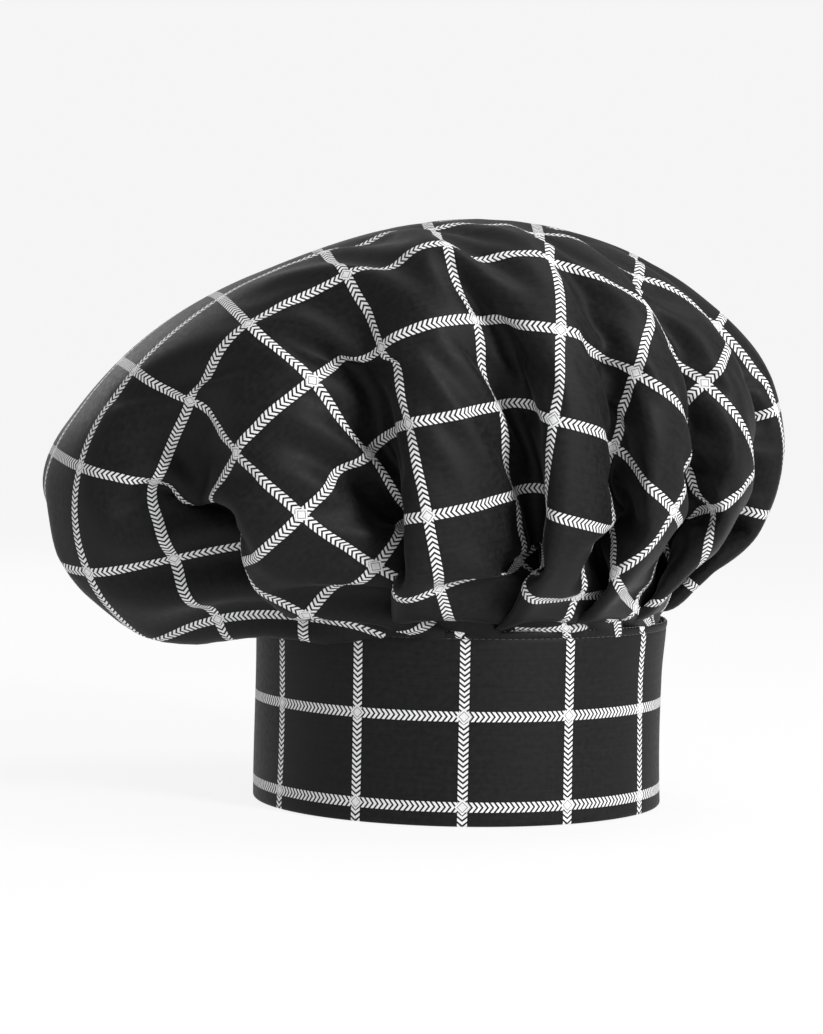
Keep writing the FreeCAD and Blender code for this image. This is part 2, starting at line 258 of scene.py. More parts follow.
def felted(name, dark, light):
    """The non-woven stiffener: short fibres pressed flat, with rows of bonded dots."""
    g = Graph(name, Specular_IOR_Level=0.3)
    g.at = u, v = g.round_place()
    fibres = g.noise(1.1, 4.0, (3.0, 0.5)) * 0.5 + g.noise(1.3, 4.0, (0.5, 3.0)) * 0.5
    dots = (u.off_line(2.4) + v.off_line(2.4)).below(0.55, 0.3)
    colour = g.mixed(g.scaled(fibres - dots * 0.15, 0.3, 0.7, 0.0, 1.0), dark, light)
    return g.finish(colour, g.scaled(fibres, 0.3, 0.7, 0.7, 0.95), fibres - dots * 0.6, 0.6, 0.3)


def tape_ground(name, dark, light, sheen):
    """The woven ground of a hook or loop tape, with its ribs across."""
    g = Graph(name, Sheen_Weight=sheen, Specular_IOR_Level=0.4)
    g.at = u, v = g.round_place()
    ribs = v.off_line(1.1) * 1.4 + u.off_line(0.8) * 0.7
    fuzz = g.noise(0.8, 4.0)
    colour = g.mixed(g.scaled(fuzz * 0.7 + ribs * 0.4, 0.3, 0.9, 0.0, 1.0), dark, light)
    return g.finish(colour, g.scaled(fuzz, 0.2, 0.8, 0.5, 0.85), ribs * 0.6 + fuzz * 0.5, 0.7, 0.3)


def thread_material():
    """Polyester sewing thread: two plies twisted together, with a faint gloss."""
    g = Graph("thread", Sheen_Weight=0.2, Specular_IOR_Level=0.5)
    g.at = u, v = g.round_place()
    twist = (u + v).off_line(0.36)
    wear = g.noise(6.0, 2.0)
    tone = g.scaled(twist * 2.2 + wear * 0.5, 0.2, 0.7, 0.0, 1.0)
    colour = g.mixed(tone, (0.006, 0.006, 0.007), (0.045, 0.045, 0.048))
    return g.finish(colour, g.scaled(wear, 0.3, 0.7, 0.38, 0.55), twist * 2.0, 0.6, 0.1)


def satin():
    """The blank label's satin: long floats that catch the light in one direction."""
    g = Graph("label_satin", Anisotropic=0.5, Specular_IOR_Level=0.6)
    g.at = u, v = g.round_place()
    floats = g.noise(1.5, 3.0, (6.0, 0.12))
    crease = g.noise(9.0, 2.0)
    tone = g.scaled(floats * 0.6 + crease * 0.4, 0.3, 0.7, 0.0, 1.0)
    colour = g.mixed(tone, (0.66, 0.66, 0.64), (0.86, 0.86, 0.84))
    return g.finish(colour, g.scaled(crease, 0.3, 0.7, 0.28, 0.42), floats * 0.4 + crease * 0.4, 0.35, 0.15)


def binding():
    """The bias binding: the black twill cut across, so its ribs run on the slant."""
    g = Graph("binding_tape", Specular_IOR_Level=0.25, Sheen_Weight=0.15)
    g.at = u, v = g.round_place()
    ribs = (u * 0.7 + v * 0.7).off_line(0.9)
    fuzz = g.noise(1.4, 3.0)
    tone = g.scaled(ribs + fuzz * 0.6, 0.2, 0.8, 0.0, 1.0)
    colour = g.mixed(tone, (0.005, 0.005, 0.006), (0.022, 0.022, 0.024))
    return g.finish(colour, g.scaled(fuzz, 0.2, 0.8, 0.55, 0.75), ribs + fuzz * 0.4, 0.6, 0.2)


MATERIALS = {
    "check_cloth": check_cloth(),
    "stiffener": felted("stiffener", (0.5, 0.5, 0.49), (0.8, 0.8, 0.78)),
    "lining_cloth": plain_weave("lining_cloth", (0.008, 0.008, 0.009), (0.034, 0.034, 0.037), 0.55,
                                Sheen_Weight=0.15, Specular_IOR_Level=0.25),
    "hook_tape": tape_ground("hook_tape", (0.006, 0.006, 0.007), (0.03, 0.03, 0.033), 0.05),
    "loop_tape": tape_ground("loop_tape", (0.008, 0.008, 0.009), (0.045, 0.045, 0.05), 0.4),
    "thread": thread_material(),
    "label_satin": satin(),
    "binding_tape": binding(),
}


# ---------------------------------------------------------------------------- mesh helpers
CLOTH = 0.45                           # the twill's thickness in millimetres


def new_mesh(name, points, faces, material):
    """A smooth-shaded piece with one of the materials."""
    mesh = bpy.data.meshes.new(name)
    mesh.from_pydata(np.asarray(points, float).tolist(), [], faces)
    mesh.polygons.foreach_set("use_smooth", np.ones(len(mesh.polygons), bool))
    mesh.materials.append(MATERIALS[material])
    piece = bpy.data.objects.new(name, mesh)
    bpy.context.scene.collection.objects.link(piece)
    return piece


def lay_flat(piece, places):
    """Gives each point its place on the flat cloth, in metres."""
    layer = piece.data.uv_layers.new(name="flat")
    index = np.zeros(len(piece.data.loops), int)
    piece.data.loops.foreach_get("vertex_index", index)
    layer.data.foreach_set("uv", places[index].ravel().astype(np.float32))


def round_path(radius, start, end, step=PATH_STEP):
    """Points, outward normals and lengths along an arc round the hat, in millimetres and radians."""
    count = max(2, int(abs(end - start) * radius / step))
    turn = np.linspace(start, end, count + 1)
    out = np.stack([np.cos(turn), np.sin(turn)], 1)
    return out * radius, out, (turn - FRONT_TURN) * radius


def swept(name, path, section, material):
    """Sweeps a closed section of (out, up, flat height) points along a path, with closed ends.

    The section is a function of the length along the path, so that cloth can pucker. Its second half
    runs back along its first, which lets the ends be closed in pairs.
    """
    line, out, lengths = path
    rows = [section(s) for s in lengths]
    points, places = [], []
    for here, normal, s, row in zip(line, out, lengths, rows):
        for depth, up, flat_up in row:
            points.append((*(here + normal * depth), up))
            places.append((s, flat_up))
    count, around = len(line), len(rows[0])
    faces = [(i * around + j, i * around + (j + 1) % around,
              (i + 1) * around + (j + 1) % around, (i + 1) * around + j)
             for i in range(count - 1) for j in range(around)]
    half = around // 2
    for base, flip in ((0, 1), ((count - 1) * around, -1)):
        for j in range(half - 1):
            cap = (base + j, base + around - 1 - j, base + around - 2 - j, base + j + 1)
            faces.append(cap[::flip])
    piece = new_mesh(name, np.array(points) * MM, faces, material)
    lay_flat(piece, np.array(places) * MM)
    return piece


# ---------------------------------------------------------------------------- the crown
# The crown's outline from its top to its seam, as (distance from the axis, height) in millimetres:
# the side that stands upright (+X), the side that flops over (-X), and the flatter front and back.
UPRIGHT = ((0, 270), (15, 270), (46, 266), (77, 255.5), (104, 241), (131, 218), (148, 190),
           (151.5, 155), (143, 125), (119, 107), (101, 94), (94.2, 86), (93.6, 79))
FLOPPED = ((0, 270), (15, 270), (59, 260.5), (107, 241.5), (154, 217), (189, 181), (204, 144),
           (203, 104), (187, 76), (151, 61), (114, 76), (94.2, 86), (93.6, 79))
FRONT = ((0, 270), (15, 270), (50, 268.5), (90, 263), (121, 248), (136, 224), (138, 192),
         (138, 160), (137, 130), (133, 105), (118, 94), (94.2, 86), (93.6, 79))
UNDERSIDE = (8, 9, 10)                 # the rows of the lobe's underside
REACH_POWER = 2.1                      # how quickly the flopped side gives way to the upright one
DROOP_POWER = 7.0                      # the same for the underside
FRONT_POWER = 2.9                      # how quickly the front and back give way to the sides

# The flat egg-shaped disc that the crown is cut from, and how it is laid on the head.
DISC = 320.0                           # its radius, on the upright side
LOBE = 60.0                            # and how much longer it is cut on the flopped side
LOBE_POWER = 5.5
POLE = 4.0                             # its centre lies this far towards the flopped side
TWIST = math.radians(10.2)             # the front's folds are pulled round by this much
GATHER = math.radians(-2.7)            # and drawn together by this much
CROWN_PHASE = (-16.7, -153.0)          # a crossing of the check, from the top of the crown
CROWN_TURN = -0.075
FOLDS = (-172, -144, -113, -80, -49, -21, 6.5, 27, 49, 76, 104, 132, 160)   # degrees from the front
PLEATS = len(FOLDS)
FOLD_ANGLES = np.radians(np.array(FOLDS + (FOLDS[0] + 360,), float)) + FRONT_TURN
COLUMNS = 24 * PLEATS
FEWEST = COLUMNS // 8
RINGS = 54
SEWN = 0.985                           # the disc is sewn down from this share of its radius
STIFFNESS = (0.05, 0.5, 1.0)           # of the cloth in bending, across its diagonals, along its edges
SETTLING = ((150, 0.02), (100, 0.003)) # rounds of settling, and the pull back to the laid pleats


def smooth(x):
    x = np.clip(x, 0, 1)
    return x * x * (3 - 2 * x)


def spline(knots, values, at):
    """A smooth curve through the rows of values at the knots."""
    i = np.clip(np.searchsorted(knots, at, side="right") - 1, 0, len(knots) - 2)
    gap = (knots[i + 1] - knots[i])[:, None]
    u = (at - knots[i])[:, None] / gap
    slope = np.gradient(values, knots, axis=0)
    start = (2 * u**3 - 3 * u**2 + 1) * values[i] + (u**3 - 2 * u**2 + u) * slope[i] * gap
    return start + (3 * u**2 - 2 * u**3) * values[i + 1] + (u**3 - u**2) * slope[i + 1] * gap


def outline(angle, steps):
    """Points (distance, height) down the crown's outline at one angle, evenly spaced."""
    lean = (1 - math.cos(angle)) / 2
    upright, flopped = np.array(UPRIGHT, float), np.array(FLOPPED, float)
    rows = upright + lean ** REACH_POWER * (flopped - upright)
    for i in UNDERSIDE:
        rows[i, 1] = upright[i, 1] + lean ** DROOP_POWER * (flopped[i, 1] - upright[i, 1])
    rows += abs(math.sin(angle)) ** FRONT_POWER * (np.array(FRONT, float) - rows)
    knots = np.concatenate([[0], np.cumsum(np.hypot(*np.diff(rows, axis=0).T))])
    curve = spline(knots, rows, np.linspace(0, knots[-1], 4 * steps))
    length = np.concatenate([[0], np.cumsum(np.hypot(*np.diff(curve, axis=0).T))])
    even = np.linspace(0, length[-1], steps + 1)
    return np.stack([np.interp(even, length, curve[:, k]) for k in (0, 1)], 1)


class Hull:
    """The smooth surface that the crown's cloth hangs on, by angle and by share of the way down."""

    def __init__(self, angles=72, steps=200):
        self.angles, self.steps = angles, steps
        self.grid = np.stack([outline(2 * math.pi * i / angles, steps) for i in range(angles)])

    def at(self, angle, share):
        turn = angle / (2 * math.pi) * self.angles
        i = np.floor(turn).astype(int)
        u = (turn - i)[:, None]
        down = np.clip(share, 0, 1) * self.steps
        j = np.minimum(down.astype(int), self.steps - 1)
        v = (down - j)[:, None]
        here, after = self.grid[i % self.angles], self.grid[(i + 1) % self.angles]
        pick = np.arange(len(i))
        near = here[pick, j] * (1 - v) + here[pick, j + 1] * v
        far = after[pick, j] * (1 - v) + after[pick, j + 1] * v
        r, z = (near * (1 - u) + far * u).T
        return np.stack([r * np.cos(angle), r * np.sin(angle), z], 1)

    def normal(self, angle, share):
        across = self.at(angle + 0.02, share) - self.at(angle - 0.02, share)
        down = self.at(angle, share + 0.01) - self.at(angle, share - 0.01)
        normal = np.cross(down, across)
        return normal / (np.linalg.norm(normal, axis=1, keepdims=True) + 1e-12)


class Pleat:
    """Sections across one knife pleat, from hardly folded to flat under its neighbour.

    A section follows the cloth by its slope: a bulging front, then a hidden stretch, BACK of the
    cloth, that turns under.  at() gives the place across the pleat and the depth for a point of
    the cloth, both as shares of the cloth's width.
    """
    BACK = 0.36

    def __init__(self, turns=40, steps=240):
        self.steps = steps
        share = (np.arange(steps) + 0.5) / steps
        across, depth, fullness = [], [], []
        for fold in np.linspace(0.0, math.pi, turns):
            shut = fold / math.pi
            ease = 0.16 * (1 - shut) + 0.03
            bulge = 0.55 * math.sin(math.pi * min(shut * 1.25, 1)) + 0.10 * shut
            front = 1 - self.BACK
            late = np.where(share < ease, share + 1, share)
            under = smooth((late - front + ease) / (2 * ease)) * (1 - smooth((late - 1 + ease) / (2 * ease)))
            lean = bulge * np.cos(math.pi * np.clip(share / front, 0, 1)) * (1 - under)
            low, high = 0.0, 1.5
            for _ in range(40):
                back = (low + high) / 2
                slope = (lean - back) * (1 - under) + fold * under
                if np.sin(slope).sum() > 0:
                    low = back
                else:
                    high = back
            x = np.concatenate([[0], np.cumsum(np.cos(slope))]) / steps
            y = np.concatenate([[0], np.cumsum(np.sin(slope))]) / steps
            across.append(x / x[-1])
            depth.append(y - y.max())
            fullness.append(1 / x[-1])
        self.across, self.depth, self.fullness = np.array(across), np.array(depth), np.array(fullness)

    def deepest(self, fullness):
        return np.interp(fullness, self.fullness, self.depth.min(1))

    def at(self, share, fullness):
        row = np.interp(fullness, self.fullness, np.arange(len(self.fullness)))
        i = np.minimum(row.astype(int), len(self.fullness) - 2)
        u = row - i
        j = np.minimum((share * self.steps).astype(int), self.steps - 1)
        v = share * self.steps - j

        def look(table):
            first = table[i, j] * (1 - v) + table[i, j + 1] * v
            return first * (1 - u) + (table[i + 1, j] * (1 - v) + table[i + 1, j + 1] * v) * u
        return look(self.across), look(self.depth)


def disc_mesh():
    """The flat disc: each point as (share of the way to the rim, pleats round), the faces, and its rings."""
    points, counts, starts, faces = [(0.0, 0.0)], [], [], []
    for ring in range(1, RINGS + 1):
        share = ring / RINGS
        count = COLUMNS
        while count > FEWEST and share < 0.52 * count / COLUMNS:
            count //= 2
        counts.append(count)
        starts.append(len(points))
        points += [(share, PLEATS * j / count) for j in range(count)]
    for j in range(counts[0]):
        faces.append((0, 1 + j, 1 + (j + 1) % counts[0]))
    for inner, outer, a, b in zip(counts, counts[1:], starts, starts[1:]):
        for j in range(inner):
            k = (j + 1) % inner
            if inner == outer:
                faces.append((a + j, b + j, b + k, a + k))
            else:
                faces.append((a + j, b + 2 * j, b + 2 * j + 1))
                faces.append((a + j, b + 2 * j + 1, a + k))
                faces.append((a + k, b + 2 * j + 1, b + (2 * j + 2) % outer))
    return np.array(points), faces, counts, starts


def spoke(pleats):
    """The angle on the flat disc after so many pleats."""
    return np.interp(pleats, np.arange(PLEATS + 1), FOLD_ANGLES)


def cut_radius(angle):
    """The radius that the cloth is cut to at an angle."""
    return DISC + LOBE * ((1 - np.cos(angle)) / 2) ** LOBE_POWER


def flat_place(disc):
    share, angle = disc[:, 0], spoke(disc[:, 1])
    radius = cut_radius(angle)
    return np.stack([share * (radius * np.cos(angle) - POLE), share * radius * np.sin(angle)], 1)


def hat_angle(spokes, share):
    """The angle round the hat of a spoke of the disc, part of the way down."""
    top = np.arctan2(DISC * np.sin(spokes), DISC * np.cos(spokes) - POLE)
    top = spokes + (top - spokes + math.pi) % (2 * math.pi) - math.pi
    from_front = spokes - FRONT_TURN
    pulled = (GATHER * np.sin(from_front) + TWIST / 2) * (1 + np.cos(from_front))
    middle = smooth(share / 0.62) * (1 - smooth((share - 0.72) / 0.26))
    low = smooth((share - 0.3) / 0.6)
    return top * (1 - low) + spokes * low + pulled * middle


def pleated(disc, hull, pleat):
    """Lays the disc over the hull, its spare width taken up by the pleats."""
    share, turns = disc.T
    j = np.floor(turns + 1e-9)
    first, last = spoke(j), spoke(j + 1)
    low, high = hat_angle(first, share), hat_angle(last, share)
    cloth = share * cut_radius((first + last) / 2) * (last - first)
    middle = hull.at((low + high) / 2, share)
    radius = np.maximum(np.hypot(middle[:, 0], middle[:, 1]), 1e-6)
    room = np.maximum(radius * (high - low), 1e-6)
    fullness = np.maximum(cloth / room, 1.0)
    for _ in range(3):
        sunk = 1 + 0.45 * pleat.deepest(fullness) * cloth / radius
        fullness = np.clip(cloth / np.maximum(room * sunk, 1e-6), 1.0, pleat.fullness[-1])
    across, depth = pleat.at(np.clip(turns - j, 0, 1), fullness)
    pressed = 1 - 0.8 * smooth((share - 0.88) / 0.1)
    angle = low + across * (high - low)
    points = hull.at(angle, share) + hull.normal(angle, share) * (depth * cloth * pressed)[:, None]
    points[0] = points[1:FEWEST + 1].mean(0)
    return points


def links(faces, counts, starts):
    """Pairs of points that the cloth holds apart: (bending, diagonals, edges)."""
    edges, diagonals, bends = set(), set(), []
    for face in faces:
        edges |= {tuple(sorted(pair)) for pair in zip(face, face[1:] + face[:1])}
        if len(face) == 4:
            diagonals |= {tuple(sorted(face[::2])), tuple(sorted(face[1::2]))}
    for ring, (count, start) in enumerate(zip(counts, starts)):
        bends += [(start + j, start + (j + 2) % count) for j in range(count)]
        if ring + 2 < len(counts) and counts[ring + 2] == count:
            bends += [(start + j, starts[ring + 2] + j) for j in range(count)]
    return np.array(bends), np.array(sorted(diagonals)), np.array(sorted(edges))


def apart(pairs, size):
    """Splits the pairs into groups in which no point comes twice."""
    taken = [0] * size
    groups = {}
    for a, b in pairs.tolist():
        used = taken[a] | taken[b]
        group = 0
        while used >> group & 1:
            group += 1
        taken[a] |= 1 << group
        taken[b] |= 1 << group
        groups.setdefault(group, []).append((a, b))
    return [np.array(pairs) for pairs in groups.values()]


def settle(points, rest, bonds, free, steps, pull):
    """Lets the cloth find its own length, while each point is drawn a little towards rest."""
    points = points.copy()
    for _ in range(steps):
        points += (rest - points) * (pull * free)[:, None]
        for pairs, lengths, stiffness in bonds:
            a, b = pairs.T
            gap = points[b] - points[a]
            size = np.linalg.norm(gap, axis=1) + 1e-9
            give = free[a] + free[b] + 1e-9
            gap *= (stiffness * (size - lengths) / size / give)[:, None]
            points[a] += gap * free[a][:, None]
            points[b] -= gap * free[b][:, None]
    return points


def crown_points():
    """The settled crown in millimetres, its flat cut, and its faces."""
    disc, faces, counts, starts = disc_mesh()
    flat = flat_place(disc)
    points = pleated(disc, Hull(), Pleat())
    bonds = []
    for pairs, stiffness in zip(links(faces, counts, starts), STIFFNESS):
        for group in apart(pairs, len(points)):
            bonds.append((group, np.linalg.norm(flat[group[:, 0]] - flat[group[:, 1]], axis=1), stiffness))
    free = np.where(disc[:, 0] < SEWN, 1.0, 0.0)
    settled = points
    for steps, pull in SETTLING:
        settled = settle(settled, points, bonds, free, steps, pull)
    return settled, flat, faces


def make_crown():
    points, flat, faces = crown_points()
    crown = new_mesh("crown_cloth", points * MM, faces, "check_cloth")
    c, s = math.cos(CROWN_TURN), math.sin(CROWN_TURN)
    turned = np.stack([flat[:, 0] * c + flat[:, 1] * s, flat[:, 1] * c - flat[:, 0] * s], 1)
    lay_flat(crown, (np.array(CROWN_PHASE) - turned) * MM)
    finer = crown.modifiers.new("finer", "SUBSURF")
    finer.levels = finer.render_levels = 1
    thick = crown.modifiers.new("thick", "SOLIDIFY")
    thick.thickness = CLOTH * MM
    thick.offset = -1
    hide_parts("crown")
    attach(crown, HAT)
    around = np.linspace(0, 2 * math.pi, 720, endpoint=False)
    area = (cut_radius(around) ** 2).mean() * math.pi * MM * MM


# ---------------------------------------------------------------------------- the band and its tab
FOLD_DEPTH = 12.0                      # the shell is turned in this far at the lower edge
SEAM_LINE = 82.5                       # the stitched groove under the lip
LIP_SLIDE = 2.6                        # the lip's check lies this far round from the band's
WAIST = 0.5                            # the band draws in this much at mid height
LAP_R = 99.4                           # the tab's outer face where it lies round the band's far end
TAB_BEND = 50.0                        # radius of the bend between the band and the lapped part
TAB_SPAN = math.radians(56)            # from the tab's root to its tip, round the hat
TAB_LOW, TAB_HIGH = 1.0, 79.0
HOOK = (19.0, 61.0, math.radians(109), math.radians(131))        # low, high, start, end
LOOP = (15.0, 65.0, math.radians(105.5), math.radians(137.5))
UNDER_SHELL, UNDER_STIFFENER = -0.62, -1.6             # depths of the tab's layers
TAB_THICK = 2.1
GROOVE_DEPTH = 0.32
LABEL_LOW, LABEL_HIGH = 50.0, 76.0
RADIUS = BAND_R / MM
TOP = BAND_TOP / MM

# Along the tab's line: where its straight start ends, how far its bend turns, and where it laps.
KNEE = math.sqrt((LAP_R - TAB_BEND) ** 2 - (RADIUS - TAB_BEND) ** 2)
LEAN = math.atan2(KNEE, RADIUS - TAB_BEND)
LAP = KNEE + TAB_BEND * LEAN


def strip(low, high, inner, outer, step=2.0, pucker=None):
    """The section of a cloth strip between two depths, with rounded edges; pucker lifts it."""
    half, middle = (outer - inner) / 2, (outer + inner) / 2
    rows = max(2, round((high - low) / step))
    up = np.concatenate([[low, low + 0.4 * half], np.linspace(low + half, high - half, rows + 1),
                         [high - 0.4 * half, high]])
    edge = np.minimum(np.minimum(up - low, high - up) / half, 1)
    swell = half * np.sqrt(1 - 0.9 * (1 - edge) ** 2)

    def section(s):
        lift = middle + (pucker(s, up) if pucker else 0 * up)
        face = np.stack([lift + swell, up, up], 1)
        back = np.stack([lift - swell, up, up], 1)
        return [*face.tolist(), *back[::-1].tolist()]
    return section


def drawn_in(s, up):
    """How the stiffened band leaves a true cylinder: a slight waist and slow waves, fading at the nape."""
    front = smooth((150 - abs(s) * 180 / math.pi / RADIUS) / 40)
    wave = 0.35 * np.sin(s / 31 + up / 47) + 0.2 * np.sin(s / 13 - up / 21 + 1.0)
    flare = (0.8 + 1.3 * smooth((up - 60) / 26)) * smooth((s - 60) / 70)
    return front * (wave * np.sin(math.pi * np.clip(up / TOP, 0, 1)) ** 0.5
                    - WAIST * np.sin(math.pi * np.clip(up / TOP, 0, 1)) + flare)


def groove(s, up):
    """How far the stitched groove under the lip lies from a true cylinder."""
    return drawn_in(s, np.array(up)) - GROOVE_DEPTH


def label_curl(s, up):
    """How far the label hangs off the lining: more towards its foot, with slight waves."""
    return -1.5 * np.clip((LABEL_HIGH - up) / (LABEL_HIGH - LABEL_LOW), 0, 1) ** 2 + 0.15 * np.sin(s / 5)


def shell_section(s):
    """The band's outer cloth: turned in at the foot, up the face, over the stitched lip at the top."""
    fold = [(-1.1 + 0.8 * math.cos(a), 1.1 + 0.8 * math.sin(a)) for a in np.radians(np.arange(-150, 0, 30))]
    line = [(-1.9, FOLD_DEPTH), (-1.9, 7.0), (-1.9, 2.5), (-1.9, 1.1), *fold, (-0.3, 1.1)]
    line += [(-0.3, up) for up in np.linspace(3, SEAM_LINE - 1.5, 38)]
    line += [(-0.35, SEAM_LINE - 0.7), (-0.62, SEAM_LINE), (-0.25, SEAM_LINE + 0.6), (0.0, SEAM_LINE + 1.4),
             (0.02, TOP - 1.1), (-0.1, TOP - 0.6), (-0.35, TOP - 0.32), (-0.6, TOP - 0.5), (-0.65, TOP - 1.5),
             (-0.65, TOP - 3.5)]
    line = np.array(line)
    slope = np.gradient(line, axis=0)
    normal = np.stack([slope[:, 1], -slope[:, 0]], 1) / np.linalg.norm(slope, axis=1)[:, None]
    run = np.concatenate([[0], np.cumsum(np.hypot(*np.diff(line, axis=0).T))])
    run -= run[np.argmax(line[:, 0] > -0.31)] - 1.1
    line[:, 0] += drawn_in(s, line[:, 1])
    face = np.column_stack([line + normal * 0.28, run])
    back = np.column_stack([line - normal * 0.28, run])
    return [*face.tolist(), *back[::-1].tolist()]


def on_band_cloth(piece):
    """Shifts the check so that its lines fall where the band's do, with a step at the lip."""
    layer = piece.data.uv_layers["flat"]
    places = np.zeros(2 * len(layer.data), np.float32)
    layer.data.foreach_get("uv", places)
    places = places.reshape(-1, 2) / MM
    places[:, 0] += LIP_SLIDE * smooth((places[:, 1] - SEAM_LINE) / 1.2)
    layer.data.foreach_set("uv", ((places - BAND_PHASE) * MM).ravel().astype(np.float32))


def tab_path(start=0.0, end=None):
    """The line of the tab's outer face: straight on from the band, round a bend, then round the band."""
    end = LAP + LAP_R * (TAB_SPAN - LEAN) if end is None else end
    lengths = np.linspace(start, end, int((end - start) / PATH_STEP) + 1)
    line, out = [], []
    for s in lengths:
        if s < KNEE:
            point, turn = (RADIUS, s), 0.0
        elif s < LAP:
            turn = (s - KNEE) / TAB_BEND
            point = (RADIUS - TAB_BEND + TAB_BEND * math.cos(turn), KNEE + TAB_BEND * math.sin(turn))
        else:
            turn = LEAN + (s - LAP) / LAP_R
            point = (LAP_R * math.cos(turn), LAP_R * math.sin(turn))
        line.append(point)
        out.append((math.cos(turn), math.sin(turn)))
    c, s = math.cos(ROOT_TURN), math.sin(ROOT_TURN)
    turned = np.array([[c, s], [-s, c]])
    return np.array(line) @ turned, np.array(out) @ turned, lengths + (ROOT_TURN - FRONT_TURN) * RADIUS


def tab_length(turn):
    """The length along the tab at which it reaches an angle round the hat, on its lapped part."""
    return LAP + LAP_R * (turn - ROOT_TURN - LEAN)


def bends_at_root(piece):
    """Bakes a tab layer's placement into its mesh."""
    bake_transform(piece)


def stitches(name, spots, length=2.5, thick=0.25):
    """Separate stitches: each a short bowed thread whose ends go down into the cloth."""
    points, faces = [], []
    sides, shares = 6, (-1.0, -0.7, 0.0, 0.7, 1.0)
    for middle, along, out in spots:
        middle, along, out = (np.array(v, float) for v in (middle, along, out))
        beside = np.cross(along, out)
        base = len(points)
        for share in shares:
            centre = middle + along * share * length / 2 + out * thick * (0.8 - 1.5 * share ** 4)
            size = thick * math.sqrt(1 - 0.6 * share ** 2)
            for k in range(sides):
                turn = 2 * math.pi * k / sides
                points.append(centre + (out * math.cos(turn) + beside * math.sin(turn)) * size)
        for i in range(len(shares) - 1):
            for k in range(sides):
                a, b = base + i * sides + k, base + i * sides + (k + 1) % sides
                faces.append((a, b, b + sides, a + sides))
        faces.append(tuple(base + k for k in reversed(range(sides))))
        faces.append(tuple(base + (len(shares) - 1) * sides + k for k in range(sides)))
    return new_mesh(name, np.array(points) * MM, faces, "thread")


def row_spots(path, up, pitch=3.1, lift=None):
    """Places for stitches along a path at one height."""
    line, out, lengths = path
    count = max(1, int((lengths[-1] - lengths[0]) / pitch))
    spots = []
    for s in lengths[0] + (np.arange(count) + 0.5) * (lengths[-1] - lengths[0]) / count:
        here = np.array([np.interp(s, lengths, line[:, k]) for k in (0, 1)])
        normal = np.array([np.interp(s, lengths, out[:, k]) for k in (0, 1)])
        if lift:
            here = here + normal * lift(s, up)
        spots.append(((*here, up), (-normal[1], normal[0], 0), (*normal, 0)))
    return spots


def post_spots(path, which, low, high, pitch=3.1):
    """Places for stitches up one end of a path: its start (0) or its end (-1)."""
    line, out, _ = path
    count = max(1, int((high - low) / pitch))
    ups = low + (np.arange(count) + 0.5) * (high - low) / count
    return [((*line[which], up), (0, 0, 1), (*out[which], 0)) for up in ups]


def frame_spots(path, low, high):
    """Places for stitches round a rectangle on a curved face."""
    return [*row_spots(path, low), *row_spots(path, high),
            *post_spots(path, 0, low, high), *post_spots(path, -1, low, high)]


def make_band():
    whole = round_path(RADIUS, FAR_TURN - 2 * math.pi, ROOT_TURN)
    shell = swept("band_shell_cloth", whole, shell_section, "check_cloth")
    on_band_cloth(shell)
    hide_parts("band_shell")
    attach(shell, HAT)

    stiff = swept("band_stiffener", whole, strip(0.6, TOP - 10.6, -1.58, -0.62, 2.0, drawn_in), "stiffener")
    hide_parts("band_interfacing")
    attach(stiff, HAT)

    lining = swept("band_lining_cloth", whole, strip(0.4, TOP - 1, -2.7, -2.2, 2.0, drawn_in), "lining_cloth")
    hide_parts("band_lining")
    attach(lining, HAT)

    clear = math.radians(3)
    line = round_path(RADIUS, FAR_TURN - 2 * math.pi + clear, ROOT_TURN - clear)
    top = stitches("top_stitches", row_spots(line, SEAM_LINE, 3.0, groove), 2.5, 0.2)
    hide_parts("band_top_stitching")
    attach(top, HAT)

    near, far = math.radians(0.7), math.radians(0.5)
    ends = round_path(RADIUS, FAR_TURN - 2 * math.pi + far, ROOT_TURN - near)
    rows = stitches("band_end_stitches", [*post_spots(ends, 0, 3.2, 77), *post_spots(ends, -1, 3.2, 77)])
    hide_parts("band_end_stitching")
    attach(rows, HAT)

    spots = []
    for which in (0, -1):
        (x, y), (nx, ny) = ends[0][which], ends[1][which]
        spots += [((x, y, up), (-ny, nx, 0), (nx, ny, 0)) for up in np.arange(79.3, 84.9, 0.5)]
    tacks = stitches("bar_tacks", spots, 1.9, 0.27)
    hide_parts("corner_tacks")
    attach(tacks, HAT)

    gap = math.radians(0.5)
    tape = swept("nape_binding_tape", round_path(RADIUS - 0.25, ROOT_TURN + gap, FAR_TURN - gap),
                 strip(81.0, 85.0, -2.0, 0.0, 0.7), "binding_tape")
    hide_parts("nape_binding")
    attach(tape, HAT)

    label = swept("care_label_blank", round_path(RADIUS - 2.75, math.radians(52), math.radians(68), 0.8),
                  strip(LABEL_LOW, LABEL_HIGH, -0.2, 0.0, 1.2, label_curl), "label_satin")
    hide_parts("care_label")
    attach(label, HAT)


